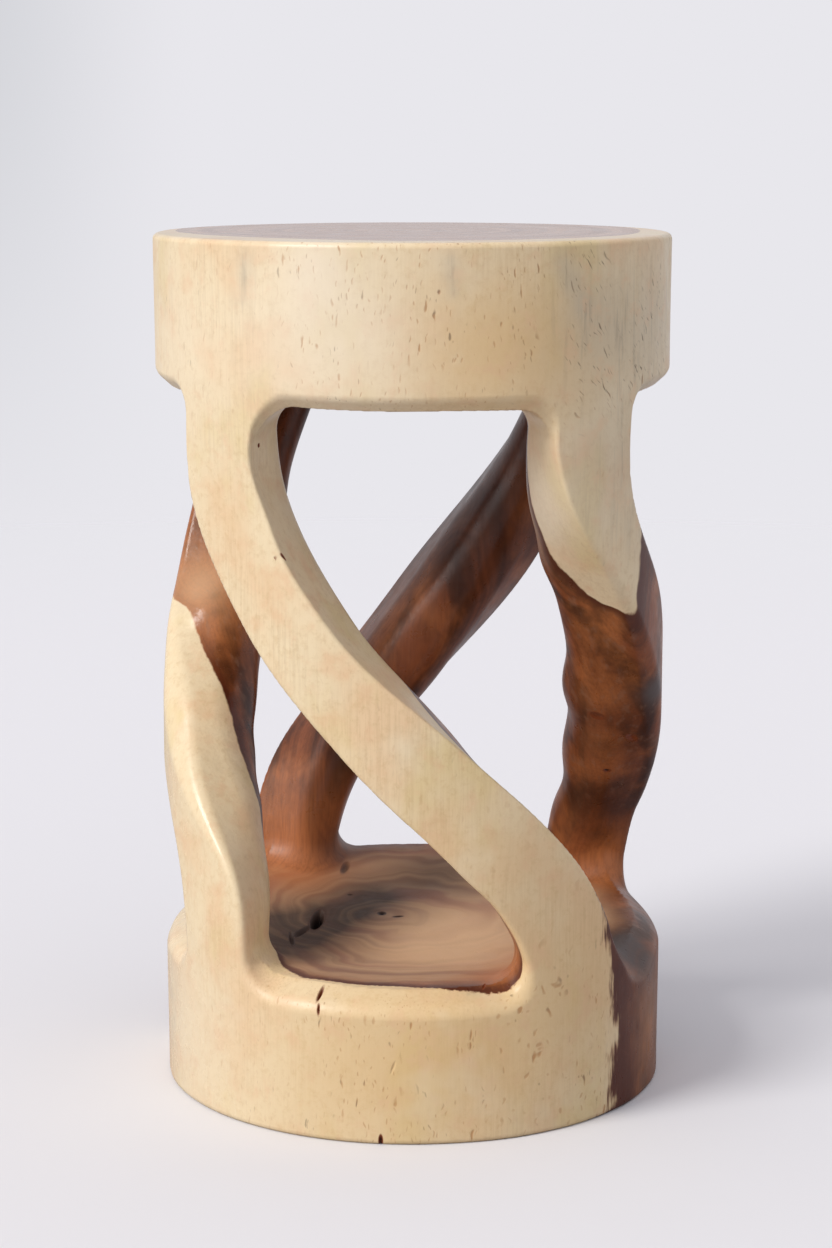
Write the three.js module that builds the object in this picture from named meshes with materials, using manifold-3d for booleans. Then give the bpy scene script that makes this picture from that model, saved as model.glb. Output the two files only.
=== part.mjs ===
import * as THREE from "three";
import { mergeVertices } from "three/addons/utils/BufferGeometryUtils.js";
import Module from "manifold-3d";

// A round stool carved from one short log: a thick seat and a thick base, joined by four struts
// that lean a quarter turn round the hollowed core.
// Millimetres, +Z up, origin at the centre of the underside. The front is -Y. Azimuths are in
// degrees, counted from the front towards +X. Heights rise a little towards the back, because the
// window sills and the underside of the seat are carved by eye.

// Overall size: the log's radius at the seat, and how much slimmer it is from the waist down
const HEIGHT = 500;
const SEAT_RADIUS = 150;
const LOG_TAPER = 2;
const BASE_RADIUS = SEAT_RADIUS - LOG_TAPER;

// Seat block: its underside is the top of the windows
const SEAT_THICKNESS = 85;
const SEAT_UNDERSIDE_RISE = 5;
const SEAT_TOP_EDGE = 3.5;
const SEAT_LOWER_EDGE = 8;

// Base block: its rim is the sill of the windows, and its floor is dished
const BASE_THICKNESS = 93;
const SILL_RISE = 7;
const SILL_EDGE_WIDTH = 10;
const SILL_EDGE_DROP = 11;
const RIM_WIDTH = 12;
const DISH_DEPTH = 8;
const DISH_SLOPE_WIDTH = 60;
const BASE_FOOT_EDGE = 2.5;

// Colours and sheen of the two kinds of wood in the log
const sapwood = { color: 0xe3cba2, roughness: 0.45, metalness: 0 };
const heartwood = { color: 0x7d4a2c, roughness: 0.4, metalness: 0 };

// Struts: side is the azimuth of the window side that a strut crosses, sweep its turn from there,
// and half its outer half width. Guide rows run in even steps from the sill up to the seat. The
// last three rows give each strut's inner half widths and its depth in from the log's outside.
const CORNER_FILLET = 16;
const STRUT_OUTER_EDGE = 8;
const STRUT_INNER_EDGE = 10;
const STRUTS = [
  {
    name: "strut_front",
    side: 0,
    sweep: [41, 26, -1, -28, -44, -47],
    half: [33, 38, 37, 30, 33, 31],
    look: sapwood,
  },
  {
    name: "strut_right",
    side: 90,
    sweep: [46, 29, 3, -21, -43, -46],
    half: [31, 31, 32, 29, 28, 30],
    look: heartwood,
  },
  {
    name: "strut_back",
    side: 180,
    sweep: [33, 28, 6, -16, -34, -51],
    half: [31, 33, 38, 42, 34, 30],
    look: heartwood,
  },
  {
    name: "strut_left",
    side: 270,
    sweep: [39, 32, 2, -23, -39, -56],
    half: [31, 34, 33, 29, 30, 30],
    look: sapwood,
  },
];
const INNER_HALF_AHEAD = [11, 10, 28, 18, 8, 11];
const INNER_HALF_BEHIND = [5, 16, 25, 24, 17, 22];
const STRUT_DEPTH = [38, 46, 54, 54, 46, 38];

// Where each strut's solid meets the seat's and the base's, just inside the window corners
const SPLIT_CLEARANCE = 8;

// Facets, and the share of a side that a rounded corner may take
const ROUND_SEGMENTS = 80;
const EDGE_STEPS = 3;
const FACE_STEPS = 5;
const DISH_STEPS = 5;
const STRUT_STEPS = 26;
const FILLET_STEPS = 7;
const ROUNDED_SHARE = 0.45;

// How far a strut's end runs on into its block, how far its face lies inside the log's round, and
// how close two points of a surface are taken as one
const BURIED = 4;
const FLUSH = 0.2;
const SAME_POINT = 1e-4;

const wasm = await Module();
wasm.setup();

const degrees = THREE.MathUtils.degToRad;
const soffitHeight = (y) => HEIGHT - SEAT_THICKNESS + (SEAT_UNDERSIDE_RISE * y) / SEAT_RADIUS;
const sillHeight = (y) => BASE_THICKNESS + (SILL_RISE * y) / BASE_RADIUS;
const guideFoot = BASE_THICKNESS - SILL_EDGE_DROP;
const guideHead = HEIGHT - SEAT_THICKNESS + SEAT_LOWER_EDGE;
const headPlane = soffitHeight(-SEAT_RADIUS) - SPLIT_CLEARANCE;
const footPlane = sillHeight(BASE_RADIUS) + SPLIT_CLEARANCE;

// Depth of the dished floor below the rim's crest, at a radius.
function dishDepth(radius) {
  const inward = BASE_RADIUS - SILL_EDGE_WIDTH - RIM_WIDTH - radius;
  return DISH_DEPTH * THREE.MathUtils.smoothstep(inward, 0, DISH_SLOPE_WIDTH);
}

// Share of the way up the windows, from 0 at the sill to 1 at the seat.
function shareUp(z) {
  return THREE.MathUtils.clamp((z - guideFoot) / (guideHead - guideFoot), 0, 1);
}

// A smooth curve through evenly spaced guide values, read at a share of its length.
function along(row, share) {
  const place = share * (row.length - 1);
  const i = Math.min(Math.floor(place), row.length - 2);
  const [here, next] = [row[i], row[i + 1]];
  const before = row[i - 1] ?? 2 * here - next;
  const after = row[i + 2] ?? 2 * next - here;
  const u = place - i;
  const bend = 2 * before - 5 * here + 4 * next - after;
  const twist = 3 * (here - next) + after - before;
  return here + (u * (next - before + u * (bend + u * twist))) / 2;
}

// Radius of the log's outside between the base and the seat.
function logRadius(z) {
  const aboveWaist = Math.max(2 * shareUp(z) - 1, 0);
  return BASE_RADIUS + LOG_TAPER * aboveWaist ** 2 - FLUSH;
}

// How far a wall has spread by the corner fillet at a distance from the surface that it runs into.
function flare(distance) {
  const within = THREE.MathUtils.clamp(CORNER_FILLET - distance, 0, CORNER_FILLET);
  return CORNER_FILLET - Math.sqrt(CORNER_FILLET ** 2 - within ** 2);
}

// Points of a rounded corner, from a distance before it to the same distance after it. On a short
// side the rounding stops before its middle, so that two corners never meet.
function roundedCorner(before, corner, after, size) {
  const start = corner.clone().lerp(before, Math.min(ROUNDED_SHARE, size / corner.distanceTo(before)));
  const end = corner.clone().lerp(after, Math.min(ROUNDED_SHARE, size / corner.distanceTo(after)));
  return new THREE.QuadraticBezierCurve(start, corner, end).getPoints(EDGE_STEPS);
}

// Level section of a strut: its outer face lies on the log, and its walls run in to the core.
// In the section's own plane x runs ahead, the way azimuths grow, and y runs out from the axis.
function strutSection(strut, z) {
  const share = shareUp(z);
  const azimuth = degrees(strut.side + along(strut.sweep, share));
  const [sin, cos] = [Math.sin(azimuth), Math.cos(azimuth)];
  const toStool = (p) => new THREE.Vector3(p.y * sin + p.x * cos, p.x * sin - p.y * cos, z);
  const radius = logRadius(z);
  const onLog = (x) => new THREE.Vector2(x, Math.sqrt(radius ** 2 - x ** 2));

  // How far a wall and its outer crease spread there to meet the floor or the seat in a fillet.
  const wallSpread = (p) => {
    const { x, y } = toStool(p);
    const aboveFloor = z - sillHeight(y) + dishDepth(Math.hypot(x, y));
    return flare(Math.min(aboveFloor, soffitHeight(y) - z));
  };
  const creaseSpread = (p) => {
    const { y } = toStool(p);
    const aboveCrease = z - sillHeight(y) + SILL_EDGE_DROP;
    return flare(Math.min(aboveCrease, soffitHeight(y) + SEAT_LOWER_EDGE - z));
  };

  const half = along(strut.half, share);
  const core = BASE_RADIUS - along(STRUT_DEPTH, share);
  const inner = (x) => {
    const plain = new THREE.Vector2(x, core);
    const spread = wallSpread(plain);
    return new THREE.Vector2(x + Math.sign(x) * spread, core - spread);
  };
  const innerAhead = inner(along(INNER_HALF_AHEAD, share));
  const innerBehind = inner(-along(INNER_HALF_BEHIND, share));
  const outerEdge = (side, innerCorner) => {
    const plain = onLog(side * half);
    const crease = onLog(side * (half - STRUT_OUTER_EDGE + creaseSpread(plain)));
    const corner = onLog(side * (half + wallSpread(plain)));
    const wall = corner.clone().lerp(innerCorner, STRUT_OUTER_EDGE / corner.distanceTo(innerCorner));
    return new THREE.QuadraticBezierCurve(crease, corner, wall).getPoints(EDGE_STEPS);
  };
  const ahead = outerEdge(1, innerAhead);
  const behind = outerEdge(-1, innerBehind).reverse();
  const [faceStart, faceEnd] = [behind.at(-1).x, ahead[0].x];
  const face = Array.from({ length: FACE_STEPS - 1 }, (_, i) =>
    onLog(THREE.MathUtils.lerp(faceStart, faceEnd, (i + 1) / FACE_STEPS)),
  );
  const outline = [
    ...face,
    ...ahead,
    ...roundedCorner(ahead.at(-1), innerAhead, innerBehind, STRUT_INNER_EDGE),
    ...roundedCorner(innerAhead, innerBehind, behind[0], STRUT_INNER_EDGE),
    ...behind,
  ];
  return outline.map(toStool);
}

// A closed body skinned over level outlines that all have the same number of points.
function loft(outlines) {
  const count = outlines[0].length;
  const last = outlines.length - 1;
  const points = outlines.flat();
  const faces = [];
  for (let ring = 0; ring < last; ring += 1) {
    for (let i = 0; i < count; i += 1) {
      const [a, b] = [ring * count + i, ring * count + ((i + 1) % count)];
      faces.push(a, b, a + count, b, b + count, a + count);
    }
  }
  const flat = (outline) => outline.map((p) => new THREE.Vector2(p.x, p.y));
  for (const [a, b, c] of THREE.ShapeUtils.triangulateShape(flat(outlines[0]), [])) {
    faces.push(c, b, a);
  }
  for (const [a, b, c] of THREE.ShapeUtils.triangulateShape(flat(outlines[last]), [])) {
    faces.push(last * count + a, last * count + b, last * count + c);
  }
  return new THREE.BufferGeometry().setFromPoints(points).setIndex(faces);
}

// A strut, or the beginning of one, between two heights.
function strutBetween(strut, low, high, steps) {
  const heights = Array.from({ length: steps + 1 }, (_, i) => low + ((high - low) * i) / steps);
  return loft(heights.map((z) => strutSection(strut, z)));
}

// Points of a rounded edge, from one angle to a larger one about its centre.
function edgeArc(centreX, centreY, sizeX, sizeY, from, to) {
  const curve = new THREE.EllipseCurve(centreX, centreY, sizeX, sizeY, degrees(from), degrees(to));
  return curve.getPoints(EDGE_STEPS);
}

// A turned block whose points are then lifted by a height that depends on their place.
function turned(profile, lift) {
  const body = new THREE.LatheGeometry(profile, ROUND_SEGMENTS).rotateX(Math.PI / 2);
  const place = body.getAttribute("position");
  for (let i = 0; i < place.count; i += 1) {
    place.setZ(i, place.getZ(i) + lift(place.getY(i), place.getZ(i)));
  }
  return body;
}

function seatBlock() {
  const underside = HEIGHT - SEAT_THICKNESS;
  const innerEdge = SEAT_RADIUS - SEAT_LOWER_EDGE;
  const topEdge = SEAT_RADIUS - SEAT_TOP_EDGE;
  const lower = edgeArc(innerEdge, underside + SEAT_LOWER_EDGE, SEAT_LOWER_EDGE, SEAT_LOWER_EDGE, 270, 360);
  const upper = edgeArc(topEdge, HEIGHT - SEAT_TOP_EDGE, SEAT_TOP_EDGE, SEAT_TOP_EDGE, 0, 90);
  const centre = [new THREE.Vector2(0, underside)];
  const profile = [...centre, ...lower, ...upper, new THREE.Vector2(0, HEIGHT)];
  const middle = HEIGHT - SEAT_THICKNESS / 2;
  return turned(profile, (y, z) => (z < middle ? soffitHeight(y) - underside : 0));
}

function baseBlock() {
  const crest = BASE_RADIUS - SILL_EDGE_WIDTH;
  const footEdge = BASE_RADIUS - BASE_FOOT_EDGE;
  const lower = edgeArc(footEdge, BASE_FOOT_EDGE, BASE_FOOT_EDGE, BASE_FOOT_EDGE, 270, 360);
  const rimCentre = BASE_THICKNESS - SILL_EDGE_DROP;
  const rim = edgeArc(crest, rimCentre, SILL_EDGE_WIDTH, SILL_EDGE_DROP, 0, 90);
  const floor = [];
  for (let i = 0; i <= DISH_STEPS; i += 1) {
    const radius = crest - RIM_WIDTH - (DISH_SLOPE_WIDTH * i) / DISH_STEPS;
    floor.push(new THREE.Vector2(radius, BASE_THICKNESS - dishDepth(radius)));
  }
  const centre = new THREE.Vector2(0, BASE_THICKNESS - DISH_DEPTH);
  const profile = [new THREE.Vector2(0, 0), ...lower, ...rim, ...floor, centre];
  const middle = BASE_THICKNESS / 2;
  return turned(profile, (y, z) => (z > middle ? sillHeight(y) - BASE_THICKNESS : 0));
}

// Geometry as a solid that can be joined to others, and back again.
function toSolid(geometry) {
  const bare = new THREE.BufferGeometry()
    .setAttribute("position", geometry.getAttribute("position"))
    .setIndex(geometry.getIndex());
  const merged = mergeVertices(bare, SAME_POINT);
  const vertProperties = new Float32Array(merged.getAttribute("position").array);
  const triVerts = new Uint32Array(merged.getIndex().array);
  return new wasm.Manifold(new wasm.Mesh({ numProp: 3, vertProperties, triVerts }));
}

function toGeometry(solid) {
  const mesh = solid.getMesh();
  const geometry = new THREE.BufferGeometry()
    .setAttribute("position", new THREE.BufferAttribute(mesh.vertProperties, 3))
    .setIndex(new THREE.BufferAttribute(mesh.triVerts, 1));
  geometry.computeVertexNormals();
  return geometry;
}

// A block with the beginnings of the four struts grown on to it, between two heights.
function withStubs(block, low, high) {
  return STRUTS.reduce(
    (grown, strut) => grown.add(toSolid(strutBetween(strut, low, high, FILLET_STEPS))),
    toSolid(block),
  );
}

function piece(name, geometry, look) {
  const mesh = new THREE.Mesh(geometry, new THREE.MeshStandardMaterial(look));
  mesh.name = name;
  return mesh;
}

const stool = new THREE.Group();
const creaseTop = soffitHeight(SEAT_RADIUS) + SEAT_LOWER_EDGE;
const creaseBottom = sillHeight(-BASE_RADIUS) - SILL_EDGE_DROP;
stool.add(piece("seat", toGeometry(withStubs(seatBlock(), headPlane, creaseTop + BURIED)), sapwood));
stool.add(piece("base", toGeometry(withStubs(baseBlock(), creaseBottom - BURIED, footPlane)), sapwood));
for (const strut of STRUTS) {
  stool.add(piece(strut.name, strutBetween(strut, footPlane, headPlane, STRUT_STEPS), strut.look));
}

export default stool;
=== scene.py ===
# %% [markdown]
# # A stool carved from one short log
#
# The real stool is one piece of wood. A short log stands on end, four leaning windows are cut
# through its side, and its core is hollowed out. What is left is a thick seat, a thick base and
# four struts that lean a quarter turn round the hollow. The part library holds it as six solids
# that meet face to face, and this lesson gives those solids their carved skin and their wood.

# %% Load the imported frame
import math

import bmesh
import bpy
import numpy as np
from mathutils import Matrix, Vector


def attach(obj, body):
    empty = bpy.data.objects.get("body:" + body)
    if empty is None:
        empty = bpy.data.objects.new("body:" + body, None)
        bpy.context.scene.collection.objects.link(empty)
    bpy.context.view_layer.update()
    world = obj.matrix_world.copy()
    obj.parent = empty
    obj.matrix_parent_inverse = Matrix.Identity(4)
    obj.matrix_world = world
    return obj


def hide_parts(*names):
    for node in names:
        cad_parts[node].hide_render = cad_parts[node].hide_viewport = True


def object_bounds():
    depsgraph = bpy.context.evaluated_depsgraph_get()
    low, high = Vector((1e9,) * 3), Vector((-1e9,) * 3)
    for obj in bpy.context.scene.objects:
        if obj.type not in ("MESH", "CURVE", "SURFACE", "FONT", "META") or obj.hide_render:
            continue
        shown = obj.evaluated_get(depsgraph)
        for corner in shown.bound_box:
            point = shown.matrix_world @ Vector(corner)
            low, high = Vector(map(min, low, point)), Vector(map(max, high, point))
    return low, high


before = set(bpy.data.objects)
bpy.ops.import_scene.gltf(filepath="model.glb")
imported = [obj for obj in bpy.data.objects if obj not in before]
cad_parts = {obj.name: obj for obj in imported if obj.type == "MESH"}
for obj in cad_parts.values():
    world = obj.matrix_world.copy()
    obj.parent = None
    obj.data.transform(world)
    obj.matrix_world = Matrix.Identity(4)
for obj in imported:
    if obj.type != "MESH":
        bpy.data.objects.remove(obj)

cad_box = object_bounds()
print("part from", [round(v, 4) for v in cad_box[0]], "to", [round(v, 4) for v in cad_box[1]])

# %% [markdown]
# ## The camera
#
# The photograph was taken from a little above the seat, about a metre and a half away, with a long
# lens, so upright lines lean in only a little. The camera looks down by ten degrees. It is made
# first, so that each later step can be looked at from the same place.

# %% Set up the camera
CAMERA_PLACE = (0, -1.678, 0.566)
CAMERA_TILT = 10.02
CAMERA_TURN = -0.066
LENS, FILM_WIDTH = 83.0, 36

camera = bpy.data.objects.new("camera", bpy.data.cameras.new("camera"))
camera.data.lens = LENS
camera.data.sensor_width = FILM_WIDTH
camera.location = CAMERA_PLACE
camera.rotation_euler = (math.radians(90 - CAMERA_TILT), 0, math.radians(CAMERA_TURN))
bpy.context.scene.collection.objects.link(camera)
bpy.context.scene.camera = camera
print("camera", CAMERA_PLACE, "lens", LENS)

# %% [markdown]
# ## The shape, as a rule
#
# Carving takes wood away from a solid, so the shape is easiest to write as a rule that says how
# far any point in space is from the wood: above zero outside, below zero inside. Simple rules for
# the log, the base, the seat and each strut are then joined. A join that adds a small round where
# two surfaces meet gives the hollow corners that a gouge leaves, and the same join turned inside
# out gives the worn edges. All sizes in these rules are in millimetres, as in the part's source.

# %% Sizes of the log and its two blocks
MILLIMETRES = 1000
HEIGHT = round(cad_box[1][2] * MILLIMETRES)
SEAT_RADIUS = round(cad_box[1][0] * MILLIMETRES)
LOG_TAPER = 2
BASE_RADIUS = SEAT_RADIUS - LOG_TAPER
SOFFIT, SOFFIT_RISE = 415, 5
SILL, SILL_RISE = 93, 7
GUIDE_FOOT, GUIDE_HEAD = 82, 423
print("height", HEIGHT, "radius", SEAT_RADIUS, "mm")

# %% Sizes of the rounded edges and corners
TOP_EDGE = 3.5
FOOT_EDGE = 2.5
WINDOW_EDGE = 2.2
SILL_EDGE = 5
CORE_EDGE = 12
CORNER_FILLET = 16
CHAMFER_WIDTH, CHAMFER_SLOPE = 8, 0.9


# %% Two ways to join distances
def filled(a, b, radius):
    """The nearer of two surfaces, with the corner between them filled to a round."""
    corner = np.hypot(np.maximum(radius - a, 0), np.maximum(radius - b, 0))
    return np.maximum(np.minimum(a, b), radius) - corner


def worn(a, b, radius):
    """What lies inside both surfaces, with the edge between them worn to a round."""
    return -filled(-a, -b, radius)


# %% [markdown]
# ## Where the hand changed its mind
#
# A carver does not keep to one radius. Some corners of the real stool are opened wider, some edges
# are worn further, and here and there the gouge left a little more or a little less wood. Each
# such place is one row: where it is, how far it reaches, and how much it adds there.

# %% Places that differ from the plain rule
WIDER_CORNERS = [
    (112, -97, 92, 34, 14),
    (128, 70, 100, 34, 12),
    (58, -122, 92, 30, 8),
    (-78, -120, 405, 30, 8),
    (66, -128, 405, 24, 4),
]
SOFTER_EDGES = [
    (-138, -20, 240, 45, 8),
    (-136, -50, 225, 50, 7),
    (-128, -75, 165, 50, 6),
    (140, -40, 230, 60, 7),
    (120, -85, 290, 40, 3),
    (60, -135, 130, 40, 1.5),
    (-100, 110, 300, 90, 6),
    (100, 110, 250, 120, 6),
]
SOFTER_CORES = [
    (-85, -35, 220, 80, 12),
    (85, 20, 200, 80, 10),
    (0, 85, 250, 90, 8),
    (50, 87, 330, 50, 10),
]
HAND_WORK = [
    (88, -12, 234, 22, 5.5),
    (92, 30, 186, 26, 4.5),
    (90, 72, 146, 22, 4),
    (76, -64, 320, 18, 4),
    (72, -82, 348, 22, 3),
    (68, -95, 375, 30, 2.5),
    (129, 66, 104, 20, 6),
    (140, 50, 140, 14, -2),
    (-94, -2, 224, 25, 1.5),
    (-94, -25, 195, 15, 2.5),
    (-91, -46, 170, 22, 5),
    (-86, -70, 130, 30, 2.5),
    (-128, -74, 232, 36, 9),
    (-88, -118, 380, 26, -7),
    (-70, -130, 335, 28, -3),
    (112, -97, 105, 26, 5),
    (-118, 12, 278, 28, 5),
    (78, -122, 393, 20, 4),
    (-134, -25, 240, 34, 5),
    (-120, 14, 280, 16, 3.5),
    (44, -141, 131, 20, -4),
    (56, -130, 112, 16, -3),
]


def places_sum(places, x, y, z):
    """The sum of soft bumps, each (x, y, z, reach, height)."""
    total = 0.0
    for px, py, pz, reach, height in places:
        total = total + height * np.exp(-((x - px) ** 2 + (y - py) ** 2 + (z - pz) ** 2) / reach**2)
    return total


print(len(HAND_WORK), "places of hand work")

# %% [markdown]
# ## The struts
#
# Each strut crosses one side of the log. Its row of turns says where its middle is, in degrees,
# at six even heights from the foot to the head, and its second row says half the width of its
# outer face there. A smooth curve runs through each row. The walls of a strut run in towards the
# hollow core, where they end in a narrower face. How wide that face is on either side of the
# middle, and how deep the strut is, is the same for all four. Where the face is so narrow that the
# walls would meet in a ridge, the ridge is worn round.

# %% Guide rows of the struts
STRUTS = {
    "strut_front": {"side": 0, "sweep": [41, 26, -1, -28, -44, -47], "half": [33, 38, 37, 30, 33, 31]},
    "strut_right": {"side": 90, "sweep": [46, 29, 3, -21, -43, -46], "half": [31, 31, 32, 29, 28, 30]},
    "strut_back": {"side": 180, "sweep": [33, 28, 6, -16, -34, -51], "half": [31, 33, 38, 42, 34, 30]},
    "strut_left": {"side": 270, "sweep": [39, 32, 2, -23, -39, -56], "half": [31, 34, 33, 29, 30, 30]},
}
INNER_HALF = {1: [11, 10, 28, 18, 8, 11], -1: [5, 16, 25, 24, 17, 22]}
STRUT_DEPTH = [38, 46, 54, 54, 46, 38]
WORN_RIDGE = 22


def along(row, share):
    """A smooth curve through evenly spaced values, read at a share of its length."""
    row = np.asarray(row, float)
    row = np.concatenate([[2 * row[0] - row[1]], row, [2 * row[-1] - row[-2]]])
    place = np.clip(share, 0, 1) * (len(row) - 3)
    i = np.minimum(np.floor(place).astype(int), len(row) - 4)
    u = place - i
    a, b, c, d = row[i], row[i + 1], row[i + 2], row[i + 3]
    return b + u * (c - a + u * (2 * a - 5 * b + 4 * c - d + u * (3 * (b - c) + d - a))) / 2


def share_up(z):
    """Share of the way up the windows."""
    return np.clip((z - GUIDE_FOOT) / (GUIDE_HEAD - GUIDE_FOOT), 0, 1)


def log_radius(z):
    return BASE_RADIUS + LOG_TAPER * np.maximum(2 * share_up(z) - 1, 0) ** 2


# %% Distance from one strut
def strut_wood(strut, x, y, z, core_edge=CORE_EDGE):
    """How far a point is from the wood of one strut."""
    share, step = share_up(z), 0.001
    sweep, half = strut["sweep"], along(strut["half"], share)
    middle = np.radians(strut["side"] + along(sweep, share))
    turn = np.radians(along(sweep, share + step) - along(sweep, share - step))
    turn = turn / (2 * step * (GUIDE_HEAD - GUIDE_FOOT))
    face = np.sqrt(log_radius(z) ** 2 - half**2)
    core = BASE_RADIUS - along(STRUT_DEPTH, share)
    ahead = x * np.cos(middle) + y * np.sin(middle)
    outward = x * np.sin(middle) - y * np.cos(middle)
    walls = []
    for way in (1, -1):
        narrowing = half - along(INNER_HALF[way], share)
        length = np.hypot(face - core, narrowing)
        across, inward = (face - core) / length, narrowing / length
        wall = across * (way * ahead - half) - inward * (outward - face)
        lean = turn * (across * outward * way + inward * ahead)
        walls.append(wall / np.sqrt(1 + lean**2))
    apart = np.abs(walls[0] - walls[1])
    ridge = np.maximum(WORN_RIDGE - apart, 0) ** 2 / (4 * WORN_RIDGE)
    return worn(np.maximum(*walls) + ridge, core - outward, core_edge)


# %% [markdown]
# ## The base and the seat
#
# The windows stop at the base and at the seat. The floor of the hollow is a shallow dish, so its
# rim stands a little higher, and both the rim and the underside of the seat climb a few
# millimetres towards the back, because they were cut by eye. The underside ends in a chamfer, and
# the sill dips like a spout beside the foot of the front strut. A slow waver of less than a
# millimetre keeps the sanded faces from looking machined.

# %% Distance from the whole carved log
DISH_RADIUS, DISH_DEPTH, DISH_SLOPE_WIDTH = 126, 8, 60
BACK_RIM_LIFT = 3.5
FRONT_SOFFIT_DROP = 1
SPOUT = {"x": 134, "y": -62, "reach": 22, "depth": 9}
RIM_START, RIM_SLOPE = 133, 0.6
LOW_EDGES_BELOW, LOW_EDGES_FADE = 140, 40
WAVER, WAVER_LENGTHS = 0.28, (46, 71, 95)
FIRST_WAVE_ANGLE, NEXT_WAVE_ANGLE, WAVE_RISE = 1.1, 2.3, 3.1


def dish(r):
    inward = np.clip((DISH_RADIUS - r) / DISH_SLOPE_WIDTH, 0, 1)
    return DISH_DEPTH * inward**2 * (3 - 2 * inward)


def waver(x, y, z):
    """A slow unevenness that is never below zero, as left by sanding by hand."""
    total = 0.0
    for turn, length in enumerate(WAVER_LENGTHS):
        angle = FIRST_WAVE_ANGLE + NEXT_WAVE_ANGLE * turn
        wave = (x * math.cos(angle) + y * math.sin(angle)) / length * 2 * math.pi
        total = total + WAVER * (1 + np.sin(wave + 2 * math.pi * z / (WAVE_RISE * length) + turn)) / 2
    return total


def wood(x, y, z):
    """How far a point is from the carved log, with the edges worn round."""
    r = np.hypot(x, y)
    core_edge = CORE_EDGE + places_sum(SOFTER_CORES, x, y, z)
    struts = [strut_wood(strut, x, y, z, core_edge) for strut in STRUTS.values()]
    sill = SILL + SILL_RISE * y / BASE_RADIUS + BACK_RIM_LIFT * np.maximum(y / BASE_RADIUS, 0) ** 2
    from_spout = np.hypot(x - SPOUT["x"], y - SPOUT["y"]) / SPOUT["reach"]
    floor = z - sill + SPOUT["depth"] * np.exp(-(from_spout**2)) + dish(r)
    floor = floor + RIM_SLOPE * np.maximum(r - RIM_START, 0)
    soffit = SOFFIT + SOFFIT_RISE * y / SEAT_RADIUS - z
    soffit = soffit - FRONT_SOFFIT_DROP * np.minimum(y / SEAT_RADIUS, 0) ** 2
    soffit = soffit + CHAMFER_SLOPE * np.maximum(r - SEAT_RADIUS + CHAMFER_WIDTH, 0)
    corner = CORNER_FILLET + places_sum(WIDER_CORNERS, x, y, z)
    inside = filled(np.minimum.reduce(struts), floor, corner)
    inside = filled(inside, soffit, corner) - places_sum(HAND_WORK, x, y, z)
    low = np.clip((LOW_EDGES_BELOW - z) / LOW_EDGES_FADE, 0, 1)
    edge = WINDOW_EDGE + (SILL_EDGE - WINDOW_EDGE) * low + places_sum(SOFTER_EDGES, x, y, z)
    sanded = waver(x, y, z)
    log = worn(inside + sanded, r - log_radius(z) + sanded, edge)
    return worn(worn(log, z - HEIGHT, TOP_EDGE), -z, FOOT_EDGE)


# %% [markdown]
# ## From the rule to a skin
#
# The rule is read at the points of a fine grid. Where it changes sign between two neighbours, the
# surface passes between them. Each small cube of the grid that the surface crosses gets one
# point, and the points of neighbouring cubes are joined into four-sided faces. A last step moves
# each point along the slope of the rule until it lies exactly on the wood.

# %% Read the rule on a grid
PITCH = 1.8
MARGIN = 3

reach = SEAT_RADIUS + MARGIN
axes = [np.arange(-reach, reach + PITCH, PITCH)] * 2
axes.append(np.arange(-MARGIN, HEIGHT + MARGIN + PITCH, PITCH))
across, deep = np.meshgrid(axes[0], axes[1], indexing="ij")
grid = np.stack([wood(across, deep, z) for z in axes[2]], axis=2)
print("grid", grid.shape)


# %% Join the crossings into faces
def skin(grid, origin, pitch):
    """Points and four-sided faces of the surface where the grid changes sign."""
    inside = grid < 0
    room = np.array(grid.shape) - 1
    cells, places, quads = [], [], []
    for axis in range(3):
        u, v = (axis + 1) % 3, (axis + 2) % 3
        near, far = [slice(None)] * 3, [slice(None)] * 3
        near[axis], far[axis] = slice(None, -1), slice(1, None)
        edge = np.argwhere(inside[tuple(near)] != inside[tuple(far)])
        step = np.eye(3, dtype=int)
        a, b = grid[tuple(edge.T)], grid[tuple((edge + step[axis]).T)]
        place = edge + step[axis] * (a / (a - b))[:, None]
        ring = [edge - step[u] - step[v], edge - step[v], edge, edge - step[u]]
        ring = np.stack([np.ravel_multi_index(cell.T, room) for cell in ring], axis=1)
        ring[a > 0] = ring[a > 0][:, ::-1]
        quads.append(ring)
        cells.append(ring.ravel())
        places.append(np.repeat(place, 4, axis=0))
    quads = np.concatenate(quads)
    used, index = np.unique(np.concatenate(cells), return_inverse=True)
    places = np.concatenate(places)
    count = np.bincount(index)
    points = np.stack([np.bincount(index, places[:, k]) / count for k in range(3)], axis=1)
    return origin + pitch * points, index.reshape(-1, 4)


origin = np.array([axis[0] for axis in axes])
points, quads = skin(grid, origin, PITCH)
print("skin", len(points), "points,", len(quads), "faces")


# %% Settle the points on the wood
LEAST_STEEPNESS = 0.25


def slope(rule, points, step=0.02):
    """Which way the distance grows fastest at each point, and how fast."""
    shifts = np.eye(3) * step
    return np.stack(
        [(rule(*(points + s).T) - rule(*(points - s).T)) / (2 * step) for s in shifts], axis=1
    )


def settle(points, rounds):
    """Move points along the slope of the rule until they lie on the wood."""
    for _ in range(rounds):
        uphill = slope(wood, points)
        steep = (uphill**2).sum(axis=1, keepdims=True)
        points = points - uphill * wood(*points.T)[:, None] / np.maximum(steep, LEAST_STEEPNESS)
    return points


points = settle(points, 3)
print("furthest point off the wood", round(float(np.abs(wood(*points.T)).max()), 4), "mm")

# %% [markdown]
# ## Pits, splits and knots
#
# The wood has a deep pit in the floor of the hollow, short drying splits in the front rim, a few
# knots and some small worm holes. Each is a row: where it is, which way its long side runs, its
# half length, its half width, how deep it goes and how dark its inside is. The faces round a mark
# are divided first, so that its edge stays crisp, and then pushed in along the slope of the wood.

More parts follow.
